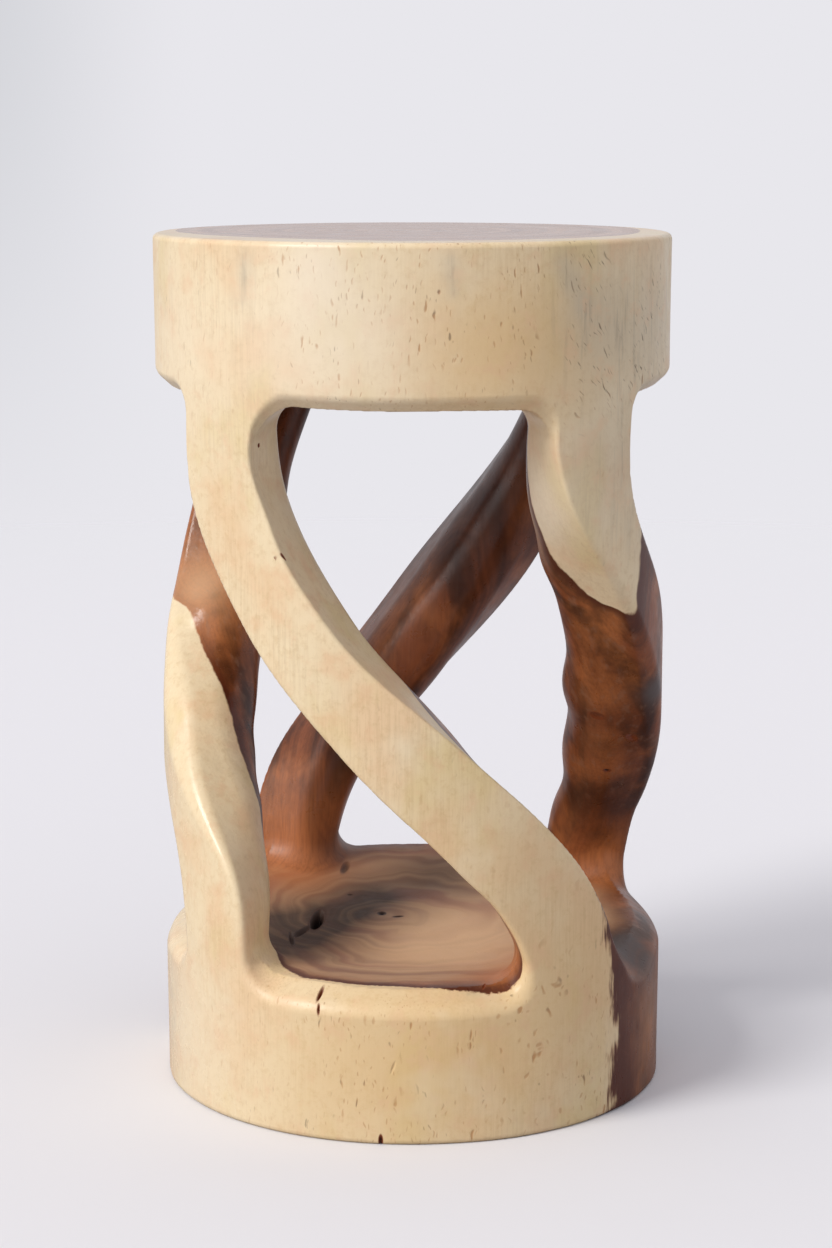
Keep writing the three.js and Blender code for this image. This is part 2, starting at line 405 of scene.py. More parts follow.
# %% Rows of marks
MARKS = [
    {"at": (-58, 12, 86), "way": (0.08, 1, 0), "size": (19, 4.2), "depth": 11, "dark": 1.0},
    {"at": (-66, -10, 86), "way": (0.4, 1, 0), "size": (14, 2.8), "depth": 3.5, "dark": 0.6},
    {"at": (-72, -26, 84), "way": (-0.1, 1, 0), "size": (14, 1.8), "depth": 2.4, "dark": 0.5},
    {"at": (-52.5, -132, 86), "way": (-0.4, -1, -0.4), "size": (6, 1.3), "depth": 2.8, "dark": 0.42},
    {"at": (-54.5, -142, 79), "way": (-0.05, -0.5, -1), "size": (3.8, 0.9), "depth": 2.0, "dark": 0.42},
    {"at": (-19, 23, 86), "way": (1, 0, 0), "size": (2.4, 3.2), "depth": 1.2, "dark": 0.9},
    {"at": (-9, 17, 86), "way": (1, 0.3, 0), "size": (3.4, 1.6), "depth": 0.6, "dark": 0.6},
    {"at": (-39, 58, 88), "way": (1, 0, 0), "size": (1.8, 1.6), "depth": 0.6, "dark": 0.5},
    {"at": (-43, 93, 95), "way": (0.2, 1, 0.2), "size": (9, 2.8), "depth": 1.2, "dark": 0.3},
    {"at": (-18, -147, 2.5), "way": (0, 0, 1), "size": (3.4, 1.2), "depth": 1.4, "dark": 0.8},
    {"at": (-84, -108, 388), "way": (0, 0, 1), "size": (1.1, 1.1), "depth": 1.6, "dark": 0.8},
    {"at": (-69, -128, 330), "way": (0.4, 0.2, -1), "size": (2.4, 1.0), "depth": 0.9, "dark": 0.7},
    {"at": (108, -21, 218), "way": (1, 0.6, 0.2), "size": (5.0, 3.2), "depth": 0.8, "dark": 0.6},
    {"at": (130, -8, 202), "way": (0.5, 1, 0.3), "size": (4.5, 3.0), "depth": 0.6, "dark": 0.5},
    {"at": (117, 15, 178), "way": (1, 0.2, 0), "size": (2.2, 1.6), "depth": 0.8, "dark": 0.8},
    {"at": (40, -128, 87), "way": (0.2, 1, 0), "size": (3.0, 0.8), "depth": 0.8, "dark": 0.5},
    {"at": (128, -78, 421), "way": (0, 0, 1), "size": (4.0, 0.9), "depth": 0.4, "dark": 0.25},
    {"at": (14, -149, 474), "way": (0, 0, 1), "size": (1.6, 1.1), "depth": 0.4, "dark": 0.25},
    {"at": (-11, -147, 45), "way": (0.35, 0, 1), "size": (5.0, 1.0), "depth": 0.5, "dark": 0.13},
]


def unit(vector):
    return np.asarray(vector, float) / np.linalg.norm(vector)


for mark in MARKS:
    mark["at"] = settle(np.array([mark["at"]], float), 6)[0]
    mark["axis"] = unit(slope(wood, mark["at"][None])[0])
    mark["side"] = unit(np.cross(mark["axis"], mark["way"]))
    mark["long"] = np.cross(mark["side"], mark["axis"])
print(len(MARKS), "marks")


# %% How deep and how dark the marks are
MARK_REACH = 4
DARK_REACH = 1.45


def marks_sum(kind, x, y, z):
    """Depth in millimetres, or darkness, of all marks together."""
    total = np.zeros(np.shape(x))
    for mark in MARKS:
        px, py, pz = mark["at"]
        gap = np.stack([x - px, y - py, z - pz], axis=-1)
        share = np.hypot(gap @ mark["long"] / mark["size"][0], gap @ mark["side"] / mark["size"][1])
        out = gap @ mark["axis"]
        near = (out < MARK_REACH) & (out > -MARK_REACH - mark["depth"])
        if kind == "depth":
            total = total + near * mark["depth"] * np.clip(1 - share**2, 0, 1) ** 1.5
        else:
            total = np.maximum(total, near * mark["dark"] * np.clip(DARK_REACH - share, 0, 1))
    return total


def finished(x, y, z):
    """The rule for the wood with its marks."""
    return wood(x, y, z) + marks_sum("depth", x, y, z)


# %% Divide the faces round the marks
SURROUND = 1.6
CUTS = 3

log_mesh = bpy.data.meshes.new("whole_log")
log_mesh.from_pydata(points, [], quads)
whole = bmesh.new()
whole.from_mesh(log_mesh)
whole.faces.ensure_lookup_table()
centres = points[quads].mean(axis=1)
close = np.zeros(len(quads), bool)
for mark in MARKS:
    close |= np.linalg.norm(centres - mark["at"], axis=1) < SURROUND * mark["size"][0] + PITCH
edges = dict.fromkeys(edge for i in np.flatnonzero(close) for edge in whole.faces[i].edges)
bmesh.ops.subdivide_edges(whole, edges=list(edges), cuts=CUTS, use_grid_fill=True)
print("faces divided", int(close.sum()), "now", len(whole.faces))

# %% Push the marks in
points = np.array([vert.co for vert in whole.verts], float)
fresh = np.linalg.norm(points[:, None] - np.array([mark["at"] for mark in MARKS]), axis=2)
fresh = (fresh < [SURROUND * mark["size"][0] + 4 * PITCH for mark in MARKS]).any(axis=1)
points[fresh] = settle(points[fresh], 2)
uphill = slope(wood, points[fresh])
uphill /= np.linalg.norm(uphill, axis=1, keepdims=True)
points[fresh] -= uphill * marks_sum("depth", *points[fresh].T)[:, None]
for vert, place in zip(whole.verts, points):
    vert.co = place
print("points settled again", int(fresh.sum()))

# %% [markdown]
# ## Six pieces again
#
# The skin is one closed surface, but the part has six nodes: the seat, the base and four struts.
# The skin is cut on the two level planes where those solids meet. Each piece is closed with a flat
# cap on each cut, so that it is a body of its own, and its shading comes from the slope of the
# rule, which is the same on both sides of a cut. So the seams can't be seen, as on the real log.

# %% Cut the skin on the two planes
HEAD_PLANE, FOOT_PLANE = 402, 108

for height in (HEAD_PLANE, FOOT_PLANE):
    geometry = whole.verts[:] + whole.edges[:] + whole.faces[:]
    bmesh.ops.bisect_plane(whole, geom=geometry, dist=1e-4, plane_co=(0, 0, height), plane_no=(0, 0, 1))
whole.to_mesh(log_mesh)
whole.free()
print("after the cuts", len(log_mesh.polygons), "faces")

# %% Say which piece each face belongs to
middles = np.empty(len(log_mesh.polygons) * 3)
log_mesh.polygons.foreach_get("center", middles)
middles = middles.reshape(-1, 3)
distances = [strut_wood(strut, *middles.T) for strut in STRUTS.values()]
owner = np.array(list(STRUTS))[np.argmin(distances, axis=0)].astype("<U12")
owner[middles[:, 2] > HEAD_PLANE] = "seat"
owner[middles[:, 2] < FOOT_PLANE] = "base"

corners = [tuple(face.vertices) for face in log_mesh.polygons]
places = np.empty(len(log_mesh.vertices) * 3)
log_mesh.vertices.foreach_get("co", places)
places = places.reshape(-1, 3)
bpy.data.meshes.remove(log_mesh)
print({name: int((owner == name).sum()) for name in ("seat", "base", *STRUTS)})


# %% Build one piece
SHADING_STEP = 0.05


def smooth_corners(mesh):
    """Shade a piece by the slope of the rule, and its caps as flat cuts."""
    here = np.array([vert.co for vert in mesh.vertices]) * MILLIMETRES
    uphill = slope(finished, here, SHADING_STEP)
    uphill /= np.maximum(np.linalg.norm(uphill, axis=1, keepdims=True), 1e-6)
    normals = []
    for face in mesh.polygons:
        heights = {round(float(here[v, 2]), 3) for v in face.vertices}
        flat = heights in ({float(HEAD_PLANE)}, {float(FOOT_PLANE)})
        normals += [tuple(face.normal) if flat else tuple(uphill[v]) for v in face.vertices]
    mesh.shade_smooth()
    mesh.normals_split_custom_set(normals)


def build_piece(node):
    """The part of the skin that belongs to one node, closed with its caps."""
    chosen = [corners[i] for i in np.flatnonzero(owner == node)]
    used = sorted({v for face in chosen for v in face})
    new_index = dict(zip(used, range(len(used))))
    mesh = bpy.data.meshes.new("carved_" + node)
    faces = [[new_index[v] for v in face] for face in chosen]
    mesh.from_pydata(places[used] / MILLIMETRES, [], faces)
    shell = bmesh.new()
    shell.from_mesh(mesh)
    rims = [edge for edge in shell.edges if edge.is_boundary]
    bmesh.ops.holes_fill(shell, edges=rims, sides=0)
    open_edges = sum(not edge.is_manifold for edge in shell.edges)
    shell.to_mesh(mesh)
    shell.free()
    smooth_corners(mesh)
    piece = bpy.data.objects.new("carved_" + node, mesh)
    bpy.context.scene.collection.objects.link(piece)
    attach(piece, "root")
    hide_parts(node)
    print(piece.name, len(mesh.polygons), "faces,", open_edges, "open edges")
    return piece


pieces = [build_piece(node) for node in ("seat", "base", *STRUTS)]

# %% [markdown]
# ## Two kinds of wood
#
# A log has pale sapwood outside and dark heartwood inside. The carving cuts through both, so the
# border between them wanders over the surface: the front and the rim are cream, the back and the
# hollow are brown, and a cream tongue runs down the right strut. The border is written as the
# radius of the heartwood in any direction and at any height. A few rows give that radius: first
# the direction in degrees, counted from the front towards the right, then the height, then the
# radius. A smooth blend fills in between them.

# %% Rows of the border
HEART_ROWS = [
    (-115, 45, 148), (-75, 60, 125), (-60, 90, 98), (-50, 88, 106), (-38, 88, 122), (-45, 120, 108),
    (-28, 87, 132), (-3, 87, 128), (15, 87, 137), (23, 105, 142), (14.5, 149, 145), (52, 50, 147.5),
    (90, 50, 165), (140, 50, 175), (180, 50, 175), (-150, 50, 165), (-50, 150, 110),
    (-57, 176, 104), (-67, 205, 108.7), (-77, 229, 113), (-82, 239, 117.5), (-89, 254, 126),
    (-97, 272, 132), (-99, 279, 145), (-106, 300, 158), (-35, 390, 95), (-22, 300, 100),
    (-4, 257, 105), (12, 219, 141), (18, 203, 143), (29, 179, 143), (38, 147, 144.5),
    (50.5, 91, 147.5), (34, 381, 114), (37.6, 344, 113.5), (42.9, 324, 112), (46.4, 314, 116),
    (49.6, 307, 120), (52.5, 300, 124), (54.6, 295, 131), (55.7, 293, 139), (56.3, 295, 146),
    (58, 299, 147.8), (60.3, 310, 148), (60.5, 330, 148), (62, 350, 148), (68, 320, 154),
    (54, 320, 141), (76, 300, 165), (80, 230, 170), (-111, 500, 146), (93, 500, 132),
    (-3, 500, 127), (180, 500, 152), (0, 440, 118), (90, 430, 134), (-90, 430, 138),
    (180, 400, 172), (130, 350, 170), (-150, 350, 170), (180, 250, 178),
]

# %% Radius of the heartwood
HEIGHT_SHARE = 0.7
GUIDE_RADIUS = 130
BORDER_SOFTNESS = 2


def border_place(azimuth, height):
    """A place on an upright cylinder, with its height drawn in to weigh less than its direction."""
    angle = np.radians(azimuth)
    to_right, to_back = GUIDE_RADIUS * np.sin(angle), -GUIDE_RADIUS * np.cos(angle)
    return np.stack([to_right, to_back, HEIGHT_SHARE * height], -1)


border_rows = np.array(HEART_ROWS, float)
row_places = border_place(border_rows[:, 0], border_rows[:, 1])
gaps = np.linalg.norm(row_places[:, None] - row_places, axis=2)
mean_radius = border_rows[:, 2].mean()
soft_gaps = gaps - BORDER_SOFTNESS * np.eye(len(border_rows))
weights = np.linalg.solve(soft_gaps, border_rows[:, 2] - mean_radius)


def heart_radius(x, y, z):
    """Radius of the heartwood in the direction of a point, at its height."""
    place = border_place(np.degrees(np.arctan2(x, -y)), z)
    total = mean_radius
    for row_place, weight in zip(row_places, weights):
        total = total + weight * np.linalg.norm(place - row_place, axis=-1)
    return total


print("border from", len(HEART_ROWS), "rows, mean radius", round(float(mean_radius), 1), "mm")

# %% [markdown]
# ## Soft places of other colours
#
# Wood is never one colour for long. Tannin, damp, knots and polish leave soft places, and each is
# one row again: where it is, how far it reaches, and how strong it is. Tanned places are deeper
# cream, grey ones are damp or sooty, amber ones glow orange, pale ones are bleached, and dark ones
# are burnt or close-grained. Some rows also paint light and shade: the tanned and grey places on
# the right of the seat are painted shade, the grey places on the hollow's floor are a painted
# shadow, and the pale places on the seat's left and on two struts are painted light and a painted
# highlight.

# %% Tanned places, partly painted shade
TAN_AND_SHADE_PLACES = [
    # the front of the seat: deeper cream, with painted shade where it turns away from the light
    (70, -131, 445, 42, 0.7), (22, -148, 445, 40, 0.6),
    # the front and the left of the base
    (-30, -145, 45, 60, 0.65), (50, -138, 50, 60, 0.6), (100, -105, 90, 50, 0.45),
    (-120, -85, 45, 40, 0.2),
    # the struts
    (30, -120, 160, 50, 0.5), (-100, -110, 200, 50, 0.1),
]

# %% Grey places, partly painted shadow and painted shade
GREY_AND_SHADE_PLACES = [
    # the left and the back of the hollow's floor: damp, and a painted shadow of the left strut,
    # whose edge the row of small places follows
    (-92, -25, 86, 34, 1.0), (-72, 0, 86, 28, 0.9), (-50, 28, 86, 26, 0.8), (-30, 60, 88, 24, 0.7),
    (-76, -62, 84, 15, 0.7), (-64, -32, 84, 15, 0.6), (-50, -4, 85, 15, 0.6),
    (-34, 24, 86, 15, 0.6), (-18, 50, 87, 15, 0.5), (15, 84, 90, 30, 0.6),
    # the saddle at the right of the base
    (131, -50, 80, 17, 1.0), (124, -42, 87, 13, 0.8),
    # the front and the back rim of the base
    (34, -128, 84, 9, 0.5), (60, 112, 98, 34, 0.5), (-55, 120, 100, 22, 0.6),
    # the right strut
    (143, -34, 236, 11, 1.2),
    # the right of the seat, and the head of the strut under it: painted shade on the side away from
    # the light
    (100, -112, 455, 30, 0.6), (134, -70, 450, 40, 0.7), (115, -95, 385, 34, 0.5),
    (130, -70, 345, 30, 0.4),
    # three stains that run down from the rim of the seat
    (20, -149, 490, 5, 0.5), (21, -149, 482, 5, 0.6), (22, -149, 474, 4, 0.5),
    (-90, -119, 489, 7, 0.5), (-90, -119, 479, 6, 0.5), (-91, -118, 468, 6, 0.3),
    (80, -126, 488, 8, 0.5), (86, -123, 478, 8, 0.5), (92, -118, 466, 8, 0.4),
]

# %% Amber and pale places, the pale ones partly painted light
AMBER_PLACES = [
    # the right end of the hollow's floor
    (57, -98, 88, 32, 1.0), (52, -126, 88, 16, 0.9), (62, -55, 85, 22, 0.7), (88, -60, 92, 16, 0.8),
    # the feet of the back and the right strut
    (-71, 83, 97, 34, 1.0), (-96, 90, 130, 30, 0.6), (-50, 115, 140, 24, 0.6),
    (117, 58, 106, 18, 1.0),
    # the right of the base
    (138, -50, 40, 36, 0.35),
    # the right strut
    (113, -31, 233, 14, 1.0), (112, -5, 196, 14, 0.8), (115, 16, 176, 15, 0.8),
    (120, 40, 120, 26, 0.6),
    # the left and the back strut
    (-130, 20, 300, 40, 0.9), (-128, 5, 275, 34, 0.8), (-20, 120, 270, 40, 0.4),
]
PALE_AND_LIT_PLACES = [
    # the middle of the hollow's floor
    (10, -25, 85, 34, 0.9), (40, -60, 86, 30, 0.5), (0, -70, 86, 36, 0.4), (70, -10, 87, 34, 0.8),
    (25, 15, 85, 28, 0.6),
    # the sides of the base
    (140, -50, 40, 40, 0.2), (-130, -70, 45, 50, 0.5),
    # the left of the seat: painted light on the side facing the lamp, and a painted highlight under
    # the rim
    (-50, -141, 488, 22, 0.7), (-60, -137, 450, 45, 0.5), (-25, -147, 450, 40, 0.45),
    (-125, -80, 440, 40, 0.4),
    # the right and the left strut: painted light on the left side of the right strut's tongue, and
    # a painted highlight on the left strut's upper heartwood
    (70, -92, 355, 30, 0.9), (-127, 21, 293, 24, 0.75),
]

# %% Dark places
DARK_PLACES = [
    # the right strut
    (124, -12, 284, 20, 0.8), (122, -20, 258, 14, 0.7), (110, 40, 156, 20, 0.7),
    (100, 45, 163, 14, 0.9), (125, 30, 163, 14, 0.9), (105, 55, 146, 10, 0.8),
    (128, 45, 146, 10, 0.8), (112, 0, 197, 9, 0.7), (126, 2, 200, 9, 0.7), (114, 54, 128, 8, 0.7),
    # the back strut
    (0, 120, 330, 60, 0.9), (60, 100, 360, 50, 1.0), (-60, 100, 370, 60, 0.6),
    # streaks down the left strut
    (-113, -4, 256, 5, 0.8), (-110, -12, 247, 5, 0.9), (-106, -17, 240, 5, 0.9),
    (-103, -24, 228, 5, 0.9), (-101, -33, 213, 6, 0.9), (-108, 4, 262, 4, 0.8),
    (-104, -2, 252, 4, 0.8), (-100, -8, 243, 4, 0.8), (-97, -14, 232, 5, 0.8),
    (-118, 14, 284, 4, 0.6), (-116, 8, 275, 4, 0.7), (-112, 4, 266, 4, 0.6),
    # the dark arc over the saddle
    (123, -30, 92, 7, 1.0), (131, -26, 93, 7, 1.0), (139, -26, 91, 7, 0.9),
]
COLOUR_PLACES = {
    "tanned_and_shade": TAN_AND_SHADE_PLACES,
    "grey_and_shade": GREY_AND_SHADE_PLACES,
    "amber": AMBER_PLACES,
    "pale_and_lit": PALE_AND_LIT_PLACES,
    "dark": DARK_PLACES,
}
print({name: len(spots) for name, spots in COLOUR_PLACES.items()})

# %% [markdown]
# ## What each point knows
#
# The material can't run the rules above, so each point of the mesh stores their results: how deep
# inside the heartwood it lies, how far out along the growth rings, how dark its mark is, whether
# it is in the hollow of the base, and how much of each colour it has.

# %% Store the wood's numbers on the points
PITH = (-15, 20)
LEAST_RADIUS = 20
HOLLOW_RIM, HOLLOW_RIM_FADE = 132, 15
HOLLOW_TOP, HOLLOW_TOP_FADE = 130, 20


def store(mesh, name, values):
    layer = mesh.attributes.new(name, "FLOAT", "POINT")
    layer.data.foreach_set("value", np.asarray(values, np.float32))


for piece in pieces:
    here = np.array([vert.co for vert in piece.data.vertices]) * MILLIMETRES
    x, y, z = here.T
    r = np.hypot(x, y)
    heart_depth = heart_radius(x, y, z) - r
    from_pith = np.hypot(x - PITH[0], y - PITH[1])
    inside_rim = np.clip((HOLLOW_RIM - r) / HOLLOW_RIM_FADE, 0, 1)
    under_top = np.clip((HOLLOW_TOP - z) / HOLLOW_TOP_FADE, 0, 1)
    to_border = np.maximum(from_pith + heart_depth, LEAST_RADIUS)
    store(piece.data, "heart_depth", heart_depth)
    store(piece.data, "ring", mean_radius * from_pith / to_border)
    store(piece.data, "mark", marks_sum("dark", x, y, z))
    store(piece.data, "hollow", inside_rim * under_top)
    for name, spots in COLOUR_PLACES.items():
        store(piece.data, name, np.clip(places_sum(spots, x, y, z), 0, 1))
print("stored on", len(pieces), "pieces")

# %% [markdown]
# ## The wood's material
#
# Solid wood has its grain all the way through, so the material is worked out from the place in the
# log, not from a flat picture: cut the log anywhere and the grain runs on. Small helpers make the
# node tree short to write. They add their nodes to whatever tree bears the name tree, so the floor
# and the backdrop use them too.

# %% Helpers for the node tree
look = bpy.data.materials.new("log_wood")
look.use_nodes = True
tree = look.node_tree
shader = tree.nodes["Principled BSDF"]


def paint(code):
    """A colour written as six hex digits, as the light level that Blender works with."""
    shares = [int(code[i : i + 2], 16) / 255 for i in (1, 3, 5)]
    return (*[s / 12.92 if s <= 0.04045 else ((s + 0.055) / 1.055) ** 2.4 for s in shares], 1)


def node(kind, inputs, **settings):
    """A new node, each input given as a value or as the output of another node."""
    made = tree.nodes.new(kind)
    for name, value in settings.items():
        setattr(made, name, value)
    for name, value in inputs.items():
        if isinstance(value, bpy.types.NodeSocket):
            tree.links.new(value, made.inputs[name])
        else:
            made.inputs[name].default_value = value
    return made


# %% Helpers for numbers
def stored(name):
    return node("ShaderNodeAttribute", {}, attribute_name=name).outputs["Fac"]


def calc(operation, a, b=0.0):
    return node("ShaderNodeMath", {0: a, 1: b}, operation=operation).outputs[0]


def times(a, b):
    return calc("MULTIPLY", a, b)


def ramp(value, low, high, to_low=0.0, to_high=1.0):
    """A value that climbs smoothly from to_low to to_high between low and high."""
    inputs = {"Value": value, "From Min": low, "From Max": high, "To Min": to_low, "To Max": to_high}
    return node("ShaderNodeMapRange", inputs, interpolation_type="SMOOTHSTEP").outputs[0]


def noise(place, size, detail=3.0, roughness=0.55):
    """Soft noise whose patches are about as wide as the given size in the place's units."""
    inputs = {"Vector": place, "Scale": 1 / size, "Detail": detail, "Roughness": roughness}
    return node("ShaderNodeTexNoise", inputs).outputs["Fac"]


# %% Helpers for colours and places
def blend(amount, a, b):
    return node("ShaderNodeMix", {0: amount, 6: a, 7: b}, data_type="RGBA").outputs[2]


def tinted(under, mask, strength, colour):
    """A colour laid over another one where the mask says so."""
    return blend(times(mask, strength), under, colour)


def stretched(place, x, y, z):
    return node("ShaderNodeVectorMath", {0: place, 1: (x, y, z)}, operation="MULTIPLY").outputs[0]


def moved(place, shift):
    return node("ShaderNodeVectorMath", {0: place, 1: shift}, operation="ADD").outputs[0]


# %% Places in the log, in millimetres
in_metres = node("ShaderNodeTexCoord", {}).outputs["Object"]
place = stretched(in_metres, MILLIMETRES, MILLIMETRES, MILLIMETRES)
along_grain = stretched(place, 1, 1, 0.05)
to_right, to_back, up = list(node("ShaderNodeSeparateXYZ", {0: place}).outputs)[:3]
NEAR_TOP, ON_TOP = HEIGHT - 6, HEIGHT - 1
print("helpers and places ready")

# %% [markdown]
# The sapwood is cream, with soft peach and yellow clouds, fine upright fibres, and the tanned,
# grey and pale places from the rows above. Soot has settled in the grey ones. On the seat, the
# tanned and grey places on the right are also painted shade, which the soot darkens further, and
# the pale places on the left are painted light.

# %% Colours of the sapwood
CREAM, PEACH, STRAW = paint("#ECD7B1"), paint("#E8C69C"), paint("#E2CB96")
SAND, FIBRE, HONEY = paint("#CDAE7E"), paint("#A98556"), paint("#DFBA82")
DUSK, BLUSH, MILK = paint("#BFB39C"), paint("#E3BB92"), paint("#EFDFC0")
IVORY, SOOT_AND_SHADE = paint("#F3E4CC"), paint("#85796A")

# %% Sapwood
sapwood = blend(ramp(noise(place, 60), 0.45, 0.7, 0, 0.8), CREAM, PEACH)
sapwood = blend(ramp(noise(stretched(place, 1, 1, 0.6), 44), 0.5, 0.7, 0, 0.8), sapwood, STRAW)
sapwood = blend(ramp(noise(place, 4.5, 4.0, 0.7), 0.45, 0.75, 0, 0.4), sapwood, SAND)
fibres = noise(along_grain, 1.5, 5.0, 0.62)
combed = ramp(noise(place, 55, 2.0), 0.4, 0.65, 0.04, 0.16)
sapwood = tinted(sapwood, ramp(fibres, 0.42, 0.62), combed, FIBRE)
# Tanned places: deeper cream, and painted shade on the right of the seat's front
sapwood = tinted(sapwood, stored("tanned_and_shade"), 0.85, HONEY)
# Grey places: stains, and painted shade on the right of the seat
sapwood = tinted(sapwood, stored("grey_and_shade"), 0.7, DUSK)
sapwood = blend(ramp(noise(place, 15, 4.0, 0.65), 0.5, 0.72, 0, 0.45), sapwood, BLUSH)
sapwood = blend(ramp(noise(place, 48, 3.0), 0.52, 0.75, 0, 0.35), sapwood, MILK)
# Pale places: bleached wood, and painted light and a painted highlight on the seat's left and on the
# right strut
sapwood = tinted(sapwood, stored("pale_and_lit"), 0.7, IVORY)
# Soot in the grey places, which on the right of the seat darkens the painted shade
sooty_and_shade = ramp(noise(stretched(place, 1, 1, 0.1), 4, 4.0), 0.52, 0.68, 0, 0.4)
sapwood = tinted(sapwood, sooty_and_shade, stored("grey_and_shade"), SOOT_AND_SHADE)
print("sapwood,", len(tree.nodes), "nodes")

# %% [markdown]
# Many short brown dashes lie in the sapwood: the pores and worm trails of the real log. On the
# right of the seat they lean to the right as they go down, because the grain turns there round a
# branch. A net of cells is stretched along the grain, some of its cells hold a dash, and a slow
# noise bends them a little and crowds them in some places.

# %% The leaning grain
LEAN, LEAN_LEVEL, LEAN_LIMIT = 0.5, 450, -70
BEND_SCALE, BEND = 0.12, (5, 5, 3)

lean = calc("MAXIMUM", calc("SUBTRACT", up, LEAN_LEVEL), LEAN_LIMIT)
lean = times(ramp(to_right, 30, 110, 0, LEAN), lean)
leaned = moved(place, node("ShaderNodeCombineXYZ", {0: lean, 1: lean, 2: 0.0}).outputs[0])
bent = node("ShaderNodeTexNoise", {"Vector": place, "Scale": BEND_SCALE, "Detail": 1.0}).outputs["Color"]
leaned = moved(leaned, stretched(bent, *BEND))


# %% Dashes in the sapwood
def dashes(width, length, gap, share):
    """Short marks along the grain, one in some of the cells of a net."""
    net = stretched(leaned, 1 / gap, 1 / gap, width / (gap * length))
    cell = node("ShaderNodeTexVoronoi", {"Vector": net, "Scale": 1.0, "Randomness": 1.0})
    chance = node("ShaderNodeSeparateColor", {0: cell.outputs["Color"]}).outputs[0]
    inside = ramp(cell.outputs["Distance"], 0.6 * width / gap, 0.25 * width / gap)
    return times(inside, calc("LESS_THAN", chance, share))


on_struts = times(ramp(up, 70, 120), ramp(up, 420, 390))
crowded = ramp(noise(place, 34, 2.0), 0.36, 0.56, 0.12, 1)
crowded = times(crowded, calc("SUBTRACT", 1.0, times(on_struts, 0.75)))
crowded = times(crowded, ramp(to_right, -110, -20, 0.35, 1))
small_dashes = times(dashes(0.9, 4.5, 2.1, 0.85), crowded)
large_dashes = times(dashes(1.5, 7.5, 4.2, 0.55), crowded)
dash = calc("MAXIMUM", times(small_dashes, 0.6), times(large_dashes, 0.95))

# %% Colour of the dashes
RUST, BARK = paint("#AE7440"), paint("#5E4836")

weathered = times(ramp(to_right, 40, 100), ramp(up, 400, 430))
weathered = calc("MAXIMUM", weathered, ramp(noise(place, 16, 2.0), 0.52, 0.66))
sapwood = tinted(sapwood, dash, 0.7, blend(weathered, RUST, BARK))
print("dashes,", len(tree.nodes), "nodes")

# %% [markdown]
# The heartwood is red-brown, in bands that follow the growth rings, with orange clouds round the
# knots and smoky ones between them. A slow noise makes the rings wander, less so near the top,
# where the cut shows them whole.

# %% Colours of the heartwood
RED_BROWN, ORANGE, CHOCOLATE = paint("#8A4C2B"), paint("#BC7240"), paint("#42200F")
SMOKE, STREAK = paint("#38190E"), paint("#94705A")
WANDER = 26

# %% Heartwood
wander = calc("SUBTRACT", noise(stretched(place, 1, 1, 0.35), 34, 1.0), 0.5)
wander = times(times(wander, WANDER), ramp(up, 440, ON_TOP, 1, 0.35))
ring = calc("ADD", stored("ring"), wander)
ring_place = node("ShaderNodeCombineXYZ", {0: ring, 1: 0.0, 2: 0.0}).outputs[0]
bands = noise(ring_place, 11, 3.0, 0.5)
fine_bands = noise(ring_place, 3, 2.0, 0.5)
heartwood = blend(ramp(bands, 0.36, 0.62), CHOCOLATE, RED_BROWN)
clouds = noise(stretched(place, 1, 1, 0.55), 27, 3.0)
heartwood = blend(ramp(clouds, 0.44, 0.74, 0, 0.7), heartwood, ORANGE)
smoke = noise(stretched(place, 1, 1, 0.7), 19, 3.0)
heartwood = blend(ramp(smoke, 0.5, 0.72, 0, 0.6), heartwood, SMOKE)
heartwood = tinted(heartwood, stored("amber"), 0.8, ORANGE)
heartwood = tinted(heartwood, stored("dark"), 0.7, CHOCOLATE)
heartwood = blend(ramp(fibres, 0.42, 0.68, 0, 0.22), heartwood, CHOCOLATE)
heartwood = blend(ramp(fine_bands, 0.45, 0.65, 0, 0.16), heartwood, CHOCOLATE)
streaky = ramp(noise(stretched(place, 1, 1, 0.03), 5, 3.0), 0.52, 0.7, 0, 0.3)
heartwood = tinted(heartwood, streaky, ramp(to_back, 60, 0, 0.2, 1), STREAK)
print("heartwood,", len(tree.nodes), "nodes")

# %% [markdown]
# The floor of the hollow is cut across the grain and sanded, so it is paler and shows the rings.
# Its grey is partly damp and partly a painted shadow of the left strut. Away from the floor the
# grey is lighter, and under the seat it is painted shade.

# %% Colours of the hollow's floor
TAN, UMBER, ROSE, COCOA = paint("#CBA27C"), paint("#9A7059"), paint("#AD7460"), paint("#7E5A48")
BLEACHED_AND_HIGHLIT, GREY, SLATE = paint("#E2B98F"), paint("#5A504D"), paint("#40362F")

# %% The floor of the hollow
facing = node("ShaderNodeNewGeometry", {}).outputs["Normal"]
upright = calc("ABSOLUTE", node("ShaderNodeSeparateXYZ", {0: facing}).outputs[2])
cut_across = times(ramp(upright, 0.75, 0.97), stored("hollow"))
end_grain = blend(ramp(noise(ring_place, 17, 1.0), 0.34, 0.58), UMBER, TAN)
end_grain = blend(ramp(noise(ring_place, 24, 1.0), 0.5, 0.62, 0, 0.5), end_grain, ROSE)
end_grain = blend(ramp(bands, 0.45, 0.65, 0, 0.35), end_grain, COCOA)
end_grain = tinted(end_grain, stored("amber"), 0.7, ORANGE)
heartwood = tinted(heartwood, cut_across, 0.85, end_grain)
# Pale places: bleached on the hollow's floor, and a painted highlight on the left strut
heartwood = tinted(heartwood, stored("pale_and_lit"), 0.75, BLEACHED_AND_HIGHLIT)
# Grey places: damp, a painted shadow on the hollow's floor, and painted shade under the seat
damp_and_shade = times(stored("grey_and_shade"), ramp(noise(ring_place, 9, 2.0), 0.3, 0.6, 0.8, 1))
heartwood = tinted(heartwood, damp_and_shade, 0.94, blend(cut_across, GREY, SLATE))

